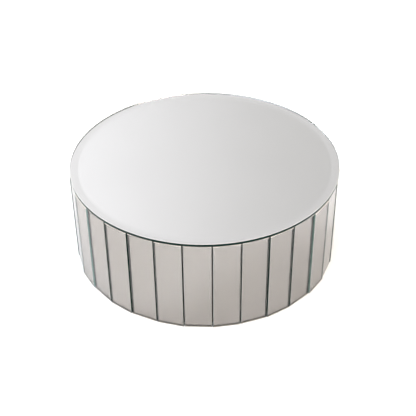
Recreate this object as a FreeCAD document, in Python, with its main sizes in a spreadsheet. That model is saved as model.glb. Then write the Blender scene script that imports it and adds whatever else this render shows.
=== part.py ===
"""A round mirror-clad display drum: a low plinth for a cake, a lamp or a centrepiece.

A wooden drum (two identical round boards, two cross-lapped ribs, four edge posts and a bent
plywood hoop) is clad in a ring of narrow mirror strips held by foam tape. A bevelled mirror disc
lies on dabs of adhesive on top, and small felt feet keep the glass off the table.

The origin is at the centre of the underside, +Z is up and -Y is the front. Lengths are in mm.
"""
import FreeCAD, Part
import os
import re

import Sketcher
from FreeCAD import Placement, Rotation, Vector

# Driving dimensions, in mm and degrees. Each becomes a cell of the spreadsheet with this alias.
SIZES = {
    "overall_height": 152,
    # Top mirror: a glass disc with a wide polished bevel.
    "disc_diameter": 400,
    "disc_thickness": 5,
    "disc_bevel_width": 12,
    "disc_rim_height": 4.4,
    "disc_arris": 0.2,
    # Side mirrors: one ring of flat strips.
    "strip_count": 31,
    "strip_width": 38.2,
    "strip_thickness": 4,
    "strip_arris": 0.3,
    "strip_face_apothem": 199.6,
    "strip_floor_gap": 0.5,
    "strip_top_gap": 0.4,
    # The silvering and its backing paint, behind every piece of glass.
    "backing_paint": 0.1,
    # The strips are laid by hand, so each sits a little proud or shy, slips a little round the ring, and
    # is turned by a fraction of a degree. Two replaced strips stand prouder than the rest.
    "lay_proud": 0.4,
    "lay_slip": 0.2,
    "lay_turn": 0.7,
    "replaced_proud": 0.6,
    # Foam tape between the strips and the hoop, two runs behind each strip.
    "tape_width": 10,
    "tape_offset": 11,
    "tape_end_gap": 8,
    # Adhesive dabs between the top board and the disc. The height is the gap that they fill with the paint.
    "dab_diameter": 40,
    "dab_height": 0.8,
    "dab_circle": 120,
    "dab_count": 8,
    # Bent plywood hoop, with one butt joint behind a post.
    "hoop_radius": 194,
    "hoop_wall": 5,
    "hoop_joint_gap": 1,
    # Top and base boards, the same part used both ways up.
    "board_thickness": 12,
    "board_clearance": 0.2,
    # Cross-lapped ribs.
    "rib_thickness": 9,
    "rib_length": 376,
    "lap_clearance": 0.2,
    # Posts against the hoop, at 45 degrees to the ribs.
    "post_count": 4,
    "post_width": 30,
    "post_depth": 22,
    # Countersunk wood screws.
    "screw_length": 25,
    "screw_diameter": 3.5,
    "screw_head_diameter": 7,
    "screw_clearance": 0.1,
    "screw_inner_circle": 60,
    "screw_outer_circle": 140,
    "screw_post_circle": 174,
    # Cross recess in each screw's head.
    "recess_width": 0.8,
    "recess_length": 4,
    "recess_depth": 1.4,
    # Felt feet.
    "foot_diameter": 25,
    "foot_height": 3,
    "foot_circle": 160,
    "foot_count": 6,
    "foot_edge": 0.5,
}

Z_AXIS = Vector(0, 0, 1)
QUARTER = 90
# The laying errors follow waves round the ring, in degrees from one strip to the next.
PROUD_STEP = 170.5
PROUD_START = 329.5
SLIP_STEP = 35
SLIP_START = 160
TURN_STEP = 141.5
TURN_START = 355.5
REPLACED_STRIPS = (5, 26)
HOOP_JOINT_ANGLE = 135
FIRST_POST = 45
FIRST_FOOT = 30

doc = FreeCAD.newDocument("MirrorDrum")
made = []


def make_sheet():
    sheet = doc.addObject("Spreadsheet::Sheet", "Sizes")
    for row, (alias, value) in enumerate(SIZES.items(), start=1):
        sheet.set(f"A{row}", alias)
        sheet.set(f"B{row}", str(value))
        sheet.setAlias(f"B{row}", alias)
    doc.recompute()
    return sheet


sheet = make_sheet()


def size(expression):
    """The value of an expression on the sheet's aliases, such as "disc_diameter / 2"."""
    return float(sheet.evalExpression(expression))


def bound(expression):
    """The same expression as another object has to write it, with the sheet's name before each alias."""
    return re.sub("[a-z_]+", lambda word: "Sizes." + word[0] if word[0] in SIZES else word[0], expression)


def bind(thing, **expressions):
    """Binds properties of a document object to expressions on the sheet."""
    for name, expression in expressions.items():
        thing.setExpression(name, bound(expression))


def keep(thing, label):
    """Marks a document object as one sub-part, written to parts/LABEL.step."""
    thing.Label = label
    made.append(thing)
    return thing


# ---------------------------------------------------------------- sketches and features


def new_body(label):
    return keep(doc.addObject("PartDesign::Body", label), label)


def new_sketch(body, name, role, lift=None):
    """A sketch on one of the body's own origin planes, raised along its normal by an expression."""
    plane = next(p for p in body.Origin.OriginFeatures if p.Role == role)
    sketch = body.newObject("Sketcher::SketchObject", name)
    sketch.AttachmentSupport = [(plane, "")]
    sketch.MapMode = "FlatFace"
    if lift:
        sketch.AttachmentOffset = Placement(Vector(0, 0, size(lift)), Rotation())
        sketch.setExpression("AttachmentOffset.Base.z", bound(lift))
    return sketch


def pin(sketch, geometry, point, x, y):
    """Holds one point of a sketch at x, y, given as expressions. "0" puts it on that axis."""
    for kind, axis, expression in (("DistanceX", -2, x), ("DistanceY", -1, y)):
        if expression == "0":
            sketch.addConstraint(Sketcher.Constraint("PointOnObject", geometry, point, axis))
            continue
        value = size(expression)
        index = sketch.addConstraint(Sketcher.Constraint(kind, -1, 1, geometry, point, value))
        name = f"{kind}_{geometry}_{point}"
        sketch.renameConstraint(index, name)
        sketch.setExpression(f"Constraints.{name}", bound(expression))


def outline(sketch, points):
    """A closed outline of straight lines through points, each an (x, y) pair of expressions."""
    at = [Vector(size(x), size(y), 0) for x, y in points]
    lines = [
        sketch.addGeometry(Part.LineSegment(a, b), False)
        for a, b in zip(at, at[1:] + at[:1])
    ]
    for line, following in zip(lines, lines[1:] + lines[:1]):
        sketch.addConstraint(Sketcher.Constraint("Coincident", line, 2, following, 1))
    for line, (x, y) in zip(lines, points):
        pin(sketch, line, 1, x, y)


def rectangle(sketch, left, right, low, high):
    outline(sketch, [(left, low), (right, low), (right, high), (left, high)])


def circle(sketch, radius, x="0", y="0"):
    centre = Vector(size(x), size(y), 0)
    index = sketch.addGeometry(Part.Circle(centre, Z_AXIS, size(radius)), False)
    pin(sketch, index, 3, x, y)
    constraint = sketch.addConstraint(Sketcher.Constraint("Radius", index, size(radius)))
    name = f"Radius_{index}"
    sketch.renameConstraint(constraint, name)
    sketch.setExpression(f"Constraints.{name}", bound(radius))


def feature(body, kind, name, sketch, **settings):
    """A sketch-based feature. Settings that are text are expressions, and others are plain values."""
    made_feature = body.newObject("PartDesign::" + kind, name)
    made_feature.Profile = sketch
    for setting, value in settings.items():
        if isinstance(value, str):
            bind(made_feature, **{setting: value})
        else:
            setattr(made_feature, setting, value)
    sketch.Visibility = False
    doc.recompute()
    return made_feature


def through_all(body, name, sketch):
    """A pocket both ways through the whole body, which has to remove something."""
    before = body.Shape.Volume
    pocket = feature(body, "Pocket", name, sketch, Midplane=True, Length="overall_height * 4")
    if not body.Shape.Volume < before:
        raise ValueError(f"{name} cut nothing out of {body.Label}")
    return pocket


def blind(body, name, sketch, depth, upwards):
    """A pocket of one depth, upwards or downwards from its sketch, which has to remove something."""
    before = body.Shape.Volume
    pocket = feature(body, "Pocket", name, sketch, Length=depth, Reversed=upwards)
    if not body.Shape.Volume < before:
        raise ValueError(f"{name} cut nothing out of {body.Label}")
    return pocket


def edge_names(shape, wanted):
    """The names of the shape's edges for which wanted(edge) is true."""
    return [f"Edge{n}" for n, edge in enumerate(shape.Edges, start=1) if wanted(edge)]


def ring(count):
    """Angles in degrees of count places evenly round a circle."""
    return [360 * n / count for n in range(count)]


def place(thing, turn=0, radius="0", height="0", spin=0):
    """Puts thing radius in front of the axis, then turns it about Z. spin turns it about its own axis."""
    rotation = Rotation(Z_AXIS, turn)
    base = rotation.multVec(Vector(0, -size(radius), 0)) + Vector(0, 0, size(height))
    thing.Placement = Placement(base, Rotation(Z_AXIS, turn + spin))


# ---------------------------------------------------------------- glass


def make_top_mirror():
    """The bevelled disc, revolved. Its bottom face is silvered, and its rim has fine arrises."""
    body = new_body("top_mirror")
    sketch = new_sketch(body, "TopMirrorProfile", "XZ_Plane")
    radius = "disc_diameter / 2"
    outline(
        sketch,
        [
            ("0", "0"),
            (f"{radius} - disc_arris", "0"),
            (radius, "disc_arris"),
            (radius, "disc_rim_height - disc_arris"),
            (f"{radius} - disc_arris", "disc_rim_height"),
            (f"{radius} - disc_bevel_width", "disc_thickness"),
            ("0", "disc_thickness"),
        ],
    )
    turned = body.newObject("PartDesign::Revolution", "TopMirrorGlass")
    turned.Profile = sketch
    turned.ReferenceAxis = (sketch, ["V_Axis"])
    turned.Angle = 360
    place(body, height="overall_height - disc_thickness")


def make_mirror_strip(number, turn):
    """One flat strip. Its own origin is the middle of its front face's lower edge."""
    body = new_body(f"mirror_strip_{number:02d}")
    sketch = new_sketch(body, f"StripOutline{number:02d}", "XY_Plane")
    rectangle(sketch, "-1 * strip_width / 2", "strip_width / 2", "0", "strip_thickness")
    height = "overall_height - disc_thickness - strip_top_gap - strip_floor_gap"
    pad = feature(body, "Pad", f"StripGlass{number:02d}", sketch, Length=height)
    front = edge_names(pad.Shape, lambda e: abs(e.BoundBox.YMin) + abs(e.BoundBox.YMax) < 1e-6)
    arris = body.newObject("PartDesign::Chamfer", f"StripArris{number:02d}")
    arris.Base = (pad, front)
    bind(arris, Size="strip_arris")
    reach = f"strip_face_apothem + lay_proud * sin({PROUD_STEP * number + PROUD_START} deg)"
    if number in REPLACED_STRIPS:
        reach += " + replaced_proud"
    slip = size(f"lay_slip * sin({SLIP_STEP * number + SLIP_START} deg)")
    spin = size(f"lay_turn * sin({TURN_STEP * number + TURN_START} deg)")
    place(body, turn + slip, reach, "strip_floor_gap", spin)
    return body


# ---------------------------------------------------------------- adhesives


def make_top_mirror_adhesive():
    """Flattened dabs, one in the middle and a ring of them."""
    body = new_body("top_mirror_adhesive")
    thickness = "dab_height - backing_paint"
    middle = new_sketch(body, "MiddleDab", "XY_Plane")
    circle(middle, "dab_diameter / 2")
    feature(body, "Pad", "MiddleDabPad", middle, Length=thickness)
    outer = new_sketch(body, "OuterDab", "XY_Plane")
    circle(outer, "dab_diameter / 2", "dab_circle", "0")
    pad = feature(body, "Pad", "OuterDabPad", outer, Length=thickness)
    pattern = body.newObject("PartDesign::PolarPattern", "DabRing")
    pattern.Originals = [pad]
    pattern.Axis = (outer, ["N_Axis"])
    pattern.Angle = 360
    bind(pattern, Occurrences="dab_count")
    body.Tip = pattern
    place(body, height="overall_height - disc_thickness - dab_height")


def make_strip_tape(strips):
    """Two runs of foam tape behind each strip, pressed to the hoop's curve on their inner side."""
    runs = []
    for strip in strips:
        for side in (-1, 1):
            run = doc.addObject("Part::Box", "TapeRun")
            bind(
                run,
                Length="tape_width",
                Width="strip_face_apothem - strip_thickness - backing_paint - hoop_radius + hoop_wall",
                Height="overall_height - disc_thickness - strip_floor_gap - 2 * tape_end_gap",
            )
            corner = Vector(
                side * size("tape_offset") - size("tape_width / 2"),
                size("strip_thickness + backing_paint"),
                size("tape_end_gap"),
            )
            run.Placement = strip.Placement.multiply(Placement(corner, Rotation()))
            runs.append(run)
    stack = doc.addObject("Part::Compound", "TapeRuns")
    stack.Links = runs
    drum = doc.addObject("Part::Cylinder", "HoopOutside")
    bind(drum, Radius="hoop_radius", Height="overall_height")
    tape = doc.addObject("Part::Cut", "strip_tape")
    tape.Base = stack
    tape.Tool = drum
    keep(tape, "strip_tape")


# ---------------------------------------------------------------- wooden drum


def make_hoop():
    """The bent plywood skin, cut open at its butt joint."""
    body = new_body("side_hoop")
    section = new_sketch(body, "HoopSection", "XY_Plane")
    circle(section, "hoop_radius")
    circle(section, "hoop_radius - hoop_wall")
    height = "overall_height - disc_thickness - dab_height - foot_height"
    feature(body, "Pad", "HoopWall", section, Length=height)
    joint = new_sketch(body, "HoopJoint", "XY_Plane")
    half = "hoop_joint_gap / 2"
    rectangle(joint, "hoop_radius - hoop_wall * 2", "hoop_radius + hoop_wall", f"-1 * {half}", half)
    through_all(body, "HoopJointCut", joint)
    place(body, turn=HOOP_JOINT_ANGLE, height="foot_height")


def screw_places():
    """Where a board takes its screws, as (x, y) expressions: along both ribs and into the posts."""
    along = [sign + circle_name for circle_name in ("screw_inner_circle", "screw_outer_circle")
             for sign in ("", "-1 * ")]
    diagonal = "screw_post_circle * sin(45 deg)"
    places = [(at, "0") for at in along] + [("0", at) for at in along]
    places += [(sx + diagonal, sy + diagonal) for sx in ("", "-1 * ") for sy in ("", "-1 * ")]
    return places


def make_board(label, upside_down):
    """A round board with countersunk holes. The base board is the same part turned over."""
    body = new_body(label)
    disc = new_sketch(body, label + "Outline", "XY_Plane")
    circle(disc, "hoop_radius - hoop_wall - board_clearance")
    feature(body, "Pad", label + "Disc", disc, Length="board_thickness")
    centres = new_sketch(body, label + "Holes", "XY_Plane", lift="board_thickness")
    for x, y in screw_places():
        circle(centres, "screw_diameter / 2 + screw_clearance", x, y)
    doc.recompute()
    before = body.Shape.Volume
    hole = body.newObject("PartDesign::Hole", label + "Countersinks")
    hole.Profile = centres
    hole.DepthType = "ThroughAll"
    hole.HoleCutType = "Countersink"
    hole.HoleCutCountersinkAngle = QUARTER
    bind(hole, Diameter="screw_diameter + screw_clearance * 2")
    bind(hole, HoleCutDiameter="screw_head_diameter + screw_clearance * 4")
    doc.recompute()
    if not body.Shape.Volume < before:
        raise ValueError(f"{label} has no screw holes")
    if upside_down:
        turn_over = Rotation(Vector(1, 0, 0), 180)
        lift = size("foot_height + board_thickness")
        body.Placement = Placement(Vector(0, 0, lift), turn_over)
    else:
        lift = "overall_height - disc_thickness - dab_height - board_thickness"
        place(body, height=lift)


RIB_HEIGHT = "overall_height - disc_thickness - dab_height - foot_height - board_thickness * 2"
PILOT_DEPTH = "screw_length - board_thickness + 1"
PILOT_RADIUS = "screw_diameter / 2 + screw_clearance"


def make_rib(label, turned):
    """A rib with a half-lap slot. The second rib is the same part turned over and across."""
    body = new_body(label)
    side = new_sketch(body, label + "Side", "XZ_Plane")
    rectangle(side, "-1 * rib_length / 2", "rib_length / 2", "0", RIB_HEIGHT)
    feature(body, "Pad", label + "Board", side, Midplane=True, Length="rib_thickness")
    slot = new_sketch(body, label + "Slot", "XZ_Plane")
    half = "rib_thickness / 2 + lap_clearance / 2"
    middle = f"({RIB_HEIGHT}) / 2 - lap_clearance / 2"
    rectangle(slot, f"-1 * ({half})", half, middle, f"{RIB_HEIGHT} + rib_thickness")
    through_all(body, label + "Lap", slot)
    for name, lift, upwards in (("Low", None, True), ("High", RIB_HEIGHT, False)):
        pilots = new_sketch(body, label + name + "Pilots", "XY_Plane", lift)
        for at in ("screw_inner_circle", "screw_outer_circle"):
            circle(pilots, PILOT_RADIUS, at, "0")
            circle(pilots, PILOT_RADIUS, "-1 * " + at, "0")
        blind(body, label + name + "PilotHoles", pilots, PILOT_DEPTH, upwards)
    floor = size("foot_height + board_thickness")
    if turned:
        over = Rotation(Z_AXIS, QUARTER).multiply(Rotation(Vector(1, 0, 0), 180))
        body.Placement = Placement(Vector(0, 0, floor + size(RIB_HEIGHT)), over)
    else:
        body.Placement = Placement(Vector(0, 0, floor), Rotation())


def make_post(number, turn):
    """A softwood post whose outer face is rounded to the hoop, with a pilot hole in each end."""
    outer = "hoop_radius - hoop_wall - board_clearance"
    block = doc.addObject("Part::Box", f"PostBlock{number}")
    bind(block, Length="post_width", Width="post_depth", Height=RIB_HEIGHT)
    block.Placement.Base = Vector(-size("post_width") / 2, -size(outer), 0)
    bore = doc.addObject("Part::Cylinder", f"PostCurve{number}")
    bind(bore, Radius=outer, Height=RIB_HEIGHT)
    rounded = doc.addObject("Part::Common", f"PostRounded{number}")
    rounded.Base = block
    rounded.Tool = bore
    pilots = []
    for name, level in (("Low", 0), ("High", size(RIB_HEIGHT) - size(PILOT_DEPTH))):
        pilot = doc.addObject("Part::Cylinder", f"Post{name}Pilot{number}")
        bind(pilot, Radius=PILOT_RADIUS, Height=PILOT_DEPTH)
        pilot.Placement.Base = Vector(0, -size("screw_post_circle"), level)
        pilots.append(pilot)
    holes = doc.addObject("Part::Compound", f"PostPilots{number}")
    holes.Links = pilots
    post = keep(doc.addObject("Part::Cut", f"edge_post_{number}"), f"edge_post_{number}")
    post.Base = rounded
    post.Tool = holes
    place(post, turn=turn, height="foot_height + board_thickness")


# ---------------------------------------------------------------- screws and feet


HEAD_HEIGHT = "(screw_head_diameter - screw_diameter) / 2"


def make_screw(name, where):
    """A countersunk wood screw pointing down from its head, with a cross recess and a tapered point."""
    head = doc.addObject("Part::Cone", name + "Head")
    bind(head, Radius1="screw_diameter / 2", Radius2="screw_head_diameter / 2", Height=HEAD_HEIGHT)
    head.Placement.Base = Vector(0, 0, -size(HEAD_HEIGHT))
    shank = doc.addObject("Part::Cylinder", name + "Shank")
    bind(shank, Radius="screw_diameter / 2", Height=f"screw_length - screw_diameter - {HEAD_HEIGHT}")
    shank.Placement.Base = Vector(0, 0, -size("screw_length - screw_diameter"))
    point = doc.addObject("Part::Cone", name + "Point")
    bind(point, Radius1="recess_width / 4", Radius2="screw_diameter / 2", Height="screw_diameter")
    point.Placement.Base = Vector(0, 0, -size("screw_length"))
    blank = doc.addObject("Part::MultiFuse", name + "Blank")
    blank.Shapes = [head, shank, point]
    slots = []
    for across, along in (("recess_length", "recess_width"), ("recess_width", "recess_length")):
        slot = doc.addObject("Part::Box", name + "Slot")
        bind(slot, Length=across, Width=along, Height="recess_depth * 2")
        slot.Placement.Base = Vector(-size(across) / 2, -size(along) / 2, -size("recess_depth"))
        slots.append(slot)
    cross = doc.addObject("Part::MultiFuse", name + "Cross")
    cross.Shapes = slots
    screw = doc.addObject("Part::Cut", name)
    screw.Base = blank
    screw.Tool = cross
    screw.Placement = where
    return screw


def make_screws(label, level, upside_down):
    """The screws of one board, with their heads just under its face."""
    flip = Rotation(Vector(1, 0, 0), 180 if upside_down else 0)
    screws = [
        make_screw(f"{label}{n}", Placement(Vector(size(x), size(y), level), flip))
        for n, (x, y) in enumerate(screw_places(), start=1)
    ]
    group = keep(doc.addObject("Part::Compound", label), label)
    group.Links = screws


def make_foot(number, turn):
    body = new_body(f"foot_pad_{number}")
    face = new_sketch(body, f"FootOutline{number}", "XY_Plane")
    circle(face, "foot_diameter / 2")
    pad = feature(body, "Pad", f"FootFelt{number}", face, Length="foot_height")
    lower = edge_names(pad.Shape, lambda e: e.BoundBox.ZMax < 1e-6)
    rounding = body.newObject("PartDesign::Fillet", f"FootEdge{number}")
    rounding.Base = (pad, lower)
    bind(rounding, Radius="foot_edge")
    place(body, turn, "foot_circle")


# ---------------------------------------------------------------- assembly


def build():
    make_top_mirror()
    half_step = 360 / SIZES["strip_count"] / 2
    strips = [
        make_mirror_strip(number, turn + half_step)
        for number, turn in enumerate(ring(SIZES["strip_count"]), start=1)
    ]
    make_top_mirror_adhesive()
    make_strip_tape(strips)
    make_hoop()
    make_board("top_board", upside_down=False)
    make_board("base_board", upside_down=True)
    make_rib("cross_rib_lower", turned=False)
    make_rib("cross_rib_upper", turned=True)
    for number, turn in enumerate(ring(SIZES["post_count"]), start=1):
        make_post(number, turn + FIRST_POST)
    top_level = size("overall_height - disc_thickness - dab_height - screw_clearance")
    make_screws("top_board_screws", top_level, upside_down=False)
    make_screws("base_board_screws", size("foot_height + screw_clearance"), upside_down=True)
    for number, turn in enumerate(ring(SIZES["foot_count"]), start=1):
        make_foot(number, turn + FIRST_FOOT)
    doc.recompute()


def check_and_write():
    """Stops on any failed object or bad shape, then writes one STEP file per sub-part."""
    for thing in doc.Objects:
        if {"Invalid", "Error"} & set(thing.State):
            raise ValueError(f"{thing.Label} did not recompute: {thing.State}")
    os.makedirs("parts", exist_ok=True)
    for thing in made:
        shape = thing.Shape
        if shape.isNull() or not shape.isValid() or not shape.Solids:
            raise ValueError(f"{thing.Label} has no valid solid")
        shape.exportStep(f"parts/{thing.Label}.step")
        print(f"{thing.Label}: {len(shape.Solids)} solid(s), {shape.Volume / 1000:.2f} cm3")


build()
check_and_write()
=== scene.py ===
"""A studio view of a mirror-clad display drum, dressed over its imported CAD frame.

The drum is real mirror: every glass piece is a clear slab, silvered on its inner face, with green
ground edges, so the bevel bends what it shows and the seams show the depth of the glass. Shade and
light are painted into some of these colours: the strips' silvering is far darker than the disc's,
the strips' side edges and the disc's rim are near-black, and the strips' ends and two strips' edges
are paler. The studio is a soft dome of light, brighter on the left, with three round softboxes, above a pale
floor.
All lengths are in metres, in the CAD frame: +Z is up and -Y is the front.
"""
import math

import bpy
from mathutils import Matrix, Vector

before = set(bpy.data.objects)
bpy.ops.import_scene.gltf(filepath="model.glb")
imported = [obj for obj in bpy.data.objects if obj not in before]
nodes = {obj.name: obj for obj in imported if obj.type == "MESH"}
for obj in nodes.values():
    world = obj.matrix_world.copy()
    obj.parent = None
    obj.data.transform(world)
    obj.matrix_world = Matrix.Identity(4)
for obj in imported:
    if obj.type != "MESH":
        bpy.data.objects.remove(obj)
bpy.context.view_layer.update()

STRIPS = sorted(name for name in nodes if name.startswith("mirror_strip_"))
FEET = sorted(name for name in nodes if name.startswith("foot_pad_"))
POSTS = sorted(name for name in nodes if name.startswith("edge_post_"))
BOARDS = ("top_board", "base_board", "cross_rib_lower", "cross_rib_upper")

# Camera: a long lens looking down at the front, turned by about a quarter of a strip.
CAMERA_LENS_MM = 79.6
CAMERA_DISTANCE = 1.425
CAMERA_AZIMUTH = math.radians(-2.71)
CAMERA_ELEVATION = math.radians(36.89)
CAMERA_ROLL = math.radians(-0.507)
AIM_RIGHT = 0.0044
AIM_HEIGHT = 0.0614

# Studio light, as radiance of the dome. Places across it are the X of the direction.
DOME_FAR_LEFT = (1.08, 1.08, 1.085)
DOME_LEFT = (1.43, 1.42, 1.425)
DOME_RIGHT = (0.83, 0.815, 0.795)
DOME_FAR_RIGHT = (0.80, 0.775, 0.745)
FAR_LEFT_BLEND = (-0.62, -0.27)
MIDDLE_BLEND = (-0.21, 0.19)
FAR_RIGHT_BLEND = (0.24, 0.55)
# Low down the dome turns white all round, between these heights (Z) of the direction.
DOME_HORIZON = (1.05, 1.05, 1.05)
HORIZON_BLEND = (0.12, 0.22)
# Softboxes in the dome: azimuth, elevation, and the radii of the full light and of its faded edge, all in
# degrees, then radiance.
SOFTBOXES = (
    (-141, 43, 7, 12, (17.0, 17.5, 18.2)),
    (-60, 50, 14, 30, (3.15, 3.3, 3.5)),
    (38, 52, 12, 18, (12.6, 11.6, 10.5)),
)
FLOOR_SIZE = 24.0


# ---------------------------------------------------------------- node helpers

# The places of inputs A and B and of the result among a Mix node's sockets, for each kind of value.
MIX_SOCKETS = {"RGBA": (6, 7, 2), "FLOAT": (2, 3, 0)}


class Nodes:
    """Short calls for building one node tree."""

    def __init__(self, tree):
        self.tree = tree
        tree.nodes.clear()

    def add(self, kind, settings=None, **inputs):
        """A node of one kind. Inputs are values, or other nodes' outputs, by socket name."""
        node = self.tree.nodes.new("ShaderNode" + kind)
        for name, value in (settings or {}).items():
            setattr(node, name, value)
        for name, value in inputs.items():
            self.feed(node.inputs[name.replace("_", " ")], value)
        return node

    def feed(self, socket, value):
        if isinstance(value, bpy.types.NodeSocket):
            self.tree.links.new(value, socket)
        elif isinstance(value, tuple) and len(value) == 3 and socket.type == "RGBA":
            socket.default_value = (*value, 1.0)
        else:
            socket.default_value = value

    def noise(self, scale, detail, stretch=(1, 1, 1), roughness=0.5):
        """Noise with about scale lumps to the metre in the CAD frame, multiplied by stretch on each axis."""
        place = self.add("TexCoord").outputs["Object"]
        where = self.add("Mapping", Vector=place, Scale=stretch).outputs["Vector"]
        node = self.add("TexNoise", Vector=where, Scale=scale, Detail=detail, Roughness=roughness)
        return node.outputs["Fac"]

    def spread(self, value, low, high, to_low, to_high, smooth=False):
        """value, remapped from low..high to to_low..to_high and held inside it."""
        kind = "SMOOTHSTEP" if smooth else "LINEAR"
        node = self.add("MapRange", {"interpolation_type": kind}, Value=value)
        for name, bound in (("From Min", low), ("From Max", high), ("To Min", to_low), ("To Max", to_high)):
            node.inputs[name].default_value = bound
        return node.outputs["Result"]

    def blend(self, factor, first, second, kind="RGBA"):
        """A colour, or with kind "FLOAT" a number, between first and second."""
        node = self.add("Mix", {"data_type": kind})
        input_a, input_b, result = MIX_SOCKETS[kind]
        self.feed(node.inputs["Factor"], factor)
        self.feed(node.inputs[input_a], first)
        self.feed(node.inputs[input_b], second)
        return node.outputs[result]

    def bump(self, height, distance):
        return self.add("Bump", Height=height, Distance=distance).outputs["Normal"]


def surface(name, build, absorbed=None):
    """A material whose nodes build(nodes) makes. build returns the Principled inputs by name. absorbed
    is the colour and density of what the inside of clear glass takes from the light."""
    material = bpy.data.materials.new(name)
    material.use_nodes = True
    tree = Nodes(material.node_tree)
    shader = tree.add("BsdfPrincipled")
    for socket, value in build(tree).items():
        tree.feed(shader.inputs[socket], value)
    output = tree.add("OutputMaterial")
    tree.tree.links.new(shader.outputs["BSDF"], output.inputs["Surface"])
    if absorbed:
        volume = tree.add("VolumeAbsorption", Color=absorbed[0], Density=absorbed[1])
        tree.tree.links.new(volume.outputs["Volume"], output.inputs["Volume"])
    return material


# ---------------------------------------------------------------- glass

GLASS_IOR = 1.52
CLEAR_TINT = (0.985, 0.99, 0.985)
# How squarely a face looks out of the glass: more than the first is square on, and more than the
# second is slanted.
SQUARE_ON = 0.9
SLANTED = 0.5


def clear_glass(n):
    """Polished soda-lime glass, with the faint smears that a cloth leaves."""
    smear = n.noise(55, 3, (1.0, 1.0, 0.25))
    return {
        "Base Color": CLEAR_TINT,
        "Roughness": n.spread(smear, 0.45, 0.8, 0.0, 0.035),
        "IOR": GLASS_IOR,
        "Transmission Weight": 1.0,
    }


def silvering(tint, shade):
    """The metal film behind the glass. Its tone drifts a little from place to place."""

    def build(n):
        drift = n.noise(9, 1)
        return {
            "Base Color": n.blend(n.spread(drift, 0.3, 0.7, 0.0, 1.0), tint, shade),
            "Metallic": 1.0,
            "Roughness": n.spread(n.noise(240, 2), 0.4, 0.7, 0.012, 0.03),
        }

    return build


def bevelled_glass_shaded_rim(n):
    """The disc's glass: clear on top, and green, clouded and finely ground round its rim, which is painted
    near-black as painted shade.
    """
    upright = n.add("SeparateXYZ", Vector=n.add("TexCoord").outputs["Normal"]).outputs["Z"]
    steepness = n.add("Math", {"operation": "ABSOLUTE"}, Value=upright).outputs["Value"]
    rim = n.spread(steepness, 0.75, 0.9, 1.0, 0.0)
    smear = n.spread(n.noise(55, 3), 0.45, 0.8, 0.0, 0.035)
    marks = n.spread(n.noise(420, 3, (1.0, 1.0, 4.0)), 0.3, 0.7, 0.3, 0.45)
    return {
        # Painted shade: the rim's colour is nearly black, far darker than its green glass, and the green
        # specular tint dims the gloss of the disc glass.
        "Base Color": n.blend(rim, CLEAR_TINT, (0.0005, 0.006, 0.004)),
        "Roughness": n.blend(rim, smear, marks, "FLOAT"),
        "IOR": GLASS_IOR,
        "Specular Tint": (0.09, 0.24, 0.19),
        "Transmission Weight": 1.0,
    }


def ground_edge(dark, light):
    """A cut and ground edge of the glass, with fine grinding marks along it and no gloss."""

    def build(n):
        marks = n.noise(420, 3, (1.0, 1.0, 0.2))
        return {
            "Base Color": n.blend(marks, dark, light),
            "Roughness": n.spread(marks, 0.3, 0.7, 0.35, 0.55),
            "IOR": GLASS_IOR,
            "Specular IOR Level": 0.0,
            "Normal": n.bump(marks, 0.00006),
        }

    return build


def arris(dark, light):
    """The fine bevel left where a sharp edge was rubbed down, frosted."""

    def build(n):
        grit = n.noise(900, 3)
        return {
            "Base Color": n.blend(grit, dark, light),
            "Roughness": n.spread(grit, 0.3, 0.7, 0.35, 0.6),
            "Normal": n.bump(grit, 0.00003),
        }

    return build


# ---------------------------------------------------------------- drum, tape, screws, feet


def stained_plywood(n):
    """Dark stained veneer with its grain running round the hoop."""
    grain = n.noise(160, 5, (1.0, 1.0, 6.0), 0.6)
    return {
        "Base Color": n.blend(grain, (0.022, 0.015, 0.010), (0.060, 0.041, 0.027)),
        "Roughness": n.spread(grain, 0.2, 0.8, 0.55, 0.8),
        "Normal": n.bump(grain, 0.0002),
    }


def fibreboard(n):
    """Sanded brown fibreboard: fine flecks over slow clouds."""
    fleck = n.noise(1400, 4)
    cloud = n.noise(14, 2)
    tone = n.blend(n.spread(cloud, 0.3, 0.7, 0.0, 1.0), (0.30, 0.19, 0.105), (0.37, 0.245, 0.14))
    return {
        "Base Color": n.blend(n.spread(fleck, 0.35, 0.7, 0.0, 0.5), tone, (0.20, 0.125, 0.07)),
        "Roughness": n.spread(fleck, 0.3, 0.7, 0.72, 0.9),
        "Normal": n.bump(fleck, 0.0001),
    }


def softwood(n):
    """Sawn pine with grain along the post."""
    grain = n.noise(220, 4, (1.0, 1.0, 0.05))
    return {
        "Base Color": n.blend(grain, (0.60, 0.40, 0.21), (0.40, 0.23, 0.10)),
        "Roughness": n.spread(grain, 0.3, 0.7, 0.6, 0.8),
        "Normal": n.bump(grain, 0.0003),
    }


def foam(n):
    """Closed-cell mounting foam, pale grey and finely pitted."""
    cells = n.noise(2200, 2)
    return {
        "Base Color": n.blend(cells, (0.30, 0.30, 0.29), (0.48, 0.48, 0.46)),
        "Roughness": n.spread(cells, 0.3, 0.7, 0.75, 0.95),
        "Normal": n.bump(cells, 0.0002),
    }


def paste(n):
    """Cured mirror adhesive, beige and slightly lumpy."""
    lumps = n.noise(260, 3)
    return {
        "Base Color": n.blend(lumps, (0.42, 0.39, 0.32), (0.55, 0.52, 0.44)),
        "Roughness": n.spread(lumps, 0.3, 0.7, 0.35, 0.6),
        "Normal": n.bump(lumps, 0.0004),
    }


def zinc(n):
    """Zinc-plated steel with a faint yellow and blue cast."""
    cast = n.noise(300, 2)
    return {
        "Base Color": n.blend(cast, (0.62, 0.60, 0.52), (0.56, 0.58, 0.60)),
        "Metallic": 1.0,
        "Roughness": n.spread(cast, 0.3, 0.7, 0.25, 0.42),
    }


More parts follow.
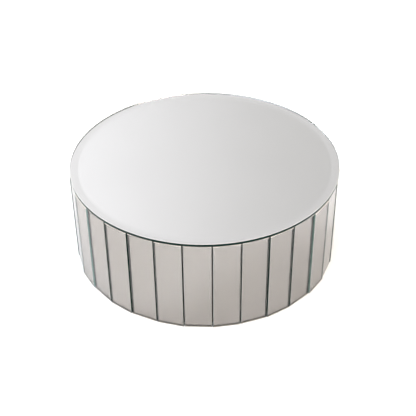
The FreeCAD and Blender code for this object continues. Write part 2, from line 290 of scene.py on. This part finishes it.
def felt(n):
    """Pressed black wool felt with loose fibres."""
    fibre = n.noise(2600, 5)
    return {
        "Base Color": n.blend(fibre, (0.006, 0.006, 0.007), (0.035, 0.034, 0.033)),
        "Roughness": n.spread(fibre, 0.3, 0.7, 0.85, 1.0),
        "Sheen Weight": 0.5,
        "Normal": n.bump(fibre, 0.0004),
    }


def dress(names, material):
    for name in names:
        nodes[name].data.materials.clear()
        nodes[name].data.materials.append(material)


def dress_glass(name, out, materials, part_of):
    """Gives a mirror's faces their materials. out points out of the glass, away from its silvering, and
    part_of(facing, normal) says which material a face takes: facing is how squarely it faces out."""
    mesh = nodes[name].data
    mesh.materials.clear()
    for material in materials:
        mesh.materials.append(material)
    for polygon in mesh.polygons:
        polygon.material_index = part_of(polygon.normal.dot(out), polygon.normal)


def disc_part(facing, normal):
    """0 is clear glass or rim, 1 is silvering and 2 is the rubbed arris."""
    if facing < -SQUARE_ON:
        return 1
    return 2 if SLANTED < facing < SQUARE_ON else 0


def strip_part(facing, normal):
    """0 is clear glass, 1 silvering, 2 the rubbed arris up each side, 3 a side edge, 4 the two ends."""
    if facing < -SQUARE_ON:
        return 1
    if facing > SQUARE_ON:
        return 0
    if abs(normal.z) > SLANTED:
        return 4
    return 2 if facing > SLANTED else 3


def middle(mesh):
    return sum((vertex.co for vertex in mesh.vertices), Vector()) / len(mesh.vertices)


def dress_drum():
    clear = surface("clear_glass", clear_glass)
    disc_glass = surface("bevelled_glass_shaded_rim", bevelled_glass_shaded_rim, absorbed=((0.0, 0.68, 0.44), 4.0))
    disc_silver = surface("disc_silvering", silvering((0.738, 0.713, 0.733), (0.728, 0.703, 0.723)))
    disc_arris = surface("disc_arris", arris((0.78, 0.80, 0.80), (0.90, 0.91, 0.91)))
    dress_glass("top_mirror", Vector((0, 0, 1)), (disc_glass, disc_silver, disc_arris), disc_part)
    # Painted shade: the strips' silvering is far darker and warmer than the disc's, so the white floor they
    # reflect comes out grey.
    silver = surface("strip_silvering_painted_shade", silvering((0.278, 0.261, 0.250), (0.268, 0.251, 0.239)))
    rubbed = surface("strip_arris", arris((0.30, 0.31, 0.30), (0.40, 0.405, 0.395)))
    # Painted light: the ends are a pale beige, lighter than the side edges, as the light they catch from the
    # floor.
    end = surface("ground_glass_end_painted_light", ground_edge((0.50, 0.48, 0.44), (0.63, 0.605, 0.565)))
    # Painted shade: the side edges are near-black green, far darker than their ground glass, as the shade
    # deep in the seams.
    edge = surface("ground_glass_edge_painted_shade", ground_edge((0.005, 0.018, 0.013), (0.016, 0.042, 0.033)))
    # Painted highlight: the edges of two strips are paler than the rest, as the light seen on those two
    # seams; their green and blue tint is the glass's own.
    pale = {
        "mirror_strip_05": surface("painted_highlight_edge_green", ground_edge((0.10, 0.16, 0.14), (0.16, 0.23, 0.21))),
        "mirror_strip_26": surface("painted_highlight_edge_blue", ground_edge((0.22, 0.31, 0.30), (0.29, 0.38, 0.37))),
    }
    for name in STRIPS:
        out = middle(nodes[name].data)
        out.z = 0
        out.normalize()
        dress_glass(name, out, (clear, silver, rubbed, pale.get(name, edge), end), strip_part)
    dress(["side_hoop"], surface("stained_plywood", stained_plywood))
    dress(BOARDS, surface("fibreboard", fibreboard))
    dress(POSTS, surface("softwood", softwood))
    dress(["strip_tape"], surface("foam_tape", foam))
    dress(["top_mirror_adhesive"], surface("mirror_adhesive", paste))
    dress(["top_board_screws", "base_board_screws"], surface("zinc_plate", zinc))
    dress(FEET, surface("wool_felt", felt))


# ---------------------------------------------------------------- studio


def floor_paint(n):
    """Matt white studio floor, with the slightest unevenness."""
    cloud = n.noise(1.4, 3)
    return {
        "Base Color": n.blend(cloud, (0.86, 0.86, 0.86), (0.88, 0.88, 0.88)),
        "Roughness": n.spread(cloud, 0.3, 0.7, 0.75, 0.85),
        "Specular IOR Level": 0.2,
    }


def make_floor():
    half = FLOOR_SIZE / 2
    mesh = bpy.data.meshes.new("studio_floor")
    corners = [(-half, -half, 0), (half, -half, 0), (half, half, 0), (-half, half, 0)]
    mesh.from_pydata(corners, [], [(0, 1, 2, 3)])
    floor = bpy.data.objects.new("studio_floor", mesh)
    bpy.context.scene.collection.objects.link(floor)
    mesh.materials.append(surface("studio_floor", floor_paint))


def direction_at(azimuth, elevation):
    """The direction towards a place seen from the drum. Azimuth 0 is the front, and turns towards +X."""
    return Vector((
        math.sin(azimuth) * math.cos(elevation),
        -math.cos(azimuth) * math.cos(elevation),
        math.sin(elevation),
    ))


def make_camera():
    back = direction_at(CAMERA_AZIMUTH, CAMERA_ELEVATION)
    level = Vector((math.cos(CAMERA_AZIMUTH), math.sin(CAMERA_AZIMUTH), 0))
    right = level * math.cos(CAMERA_ROLL) + back.cross(level) * math.sin(CAMERA_ROLL)
    up = back.cross(right)
    aim = level * AIM_RIGHT + Vector((0, 0, AIM_HEIGHT))
    place = aim + back * CAMERA_DISTANCE
    camera = bpy.data.objects.new("camera", bpy.data.cameras.new("camera"))
    camera.data.lens = CAMERA_LENS_MM
    camera.data.sensor_width = 36.0
    camera.matrix_world = Matrix.Translation(place) @ Matrix((right, up, back)).transposed().to_4x4()
    bpy.context.scene.collection.objects.link(camera)
    bpy.context.scene.camera = camera


def make_dome():
    """Light from all round, brighter on the left and warmer on the right. One softbox stands behind on
    the left, so that the drum's shadow on the floor darkens what the strips at the front right show."""
    world = bpy.data.worlds.new("studio")
    world.use_nodes = True
    bpy.context.scene.world = world
    n = Nodes(world.node_tree)
    direction = n.add("TexCoord").outputs["Generated"]
    axes = n.add("SeparateXYZ", Vector=direction)
    across, height = axes.outputs["X"], axes.outputs["Z"]
    tone = n.blend(n.spread(across, *MIDDLE_BLEND, 0.0, 1.0, smooth=True), DOME_LEFT, DOME_RIGHT)
    tone = n.blend(n.spread(across, *FAR_LEFT_BLEND, 1.0, 0.0, smooth=True), tone, DOME_FAR_LEFT)
    tone = n.blend(n.spread(across, *FAR_RIGHT_BLEND, 0.0, 1.0, smooth=True), tone, DOME_FAR_RIGHT)
    tone = n.blend(n.spread(height, *HORIZON_BLEND, 1.0, 0.0, smooth=True), tone, DOME_HORIZON)
    for azimuth, elevation, core, edge, radiance in SOFTBOXES:
        nearness = n.add("VectorMath", {"operation": "DOT_PRODUCT"})
        n.feed(nearness.inputs[0], direction)
        nearness.inputs[1].default_value = direction_at(math.radians(azimuth), math.radians(elevation))
        outer, inner = math.cos(math.radians(edge)), math.cos(math.radians(core))
        box = n.spread(nearness.outputs["Value"], outer, inner, 0.0, 1.0, smooth=True)
        tone = n.blend(box, tone, radiance)
    background = n.add("Background", Color=tone, Strength=1.0)
    output = n.add("OutputWorld")
    n.tree.links.new(background.outputs["Background"], output.inputs["Surface"])


def set_tones():
    view = bpy.context.scene.view_settings
    view.view_transform = "Standard"
    view.look = "None"


dress_drum()
make_floor()
make_camera()
make_dome()
set_tones()
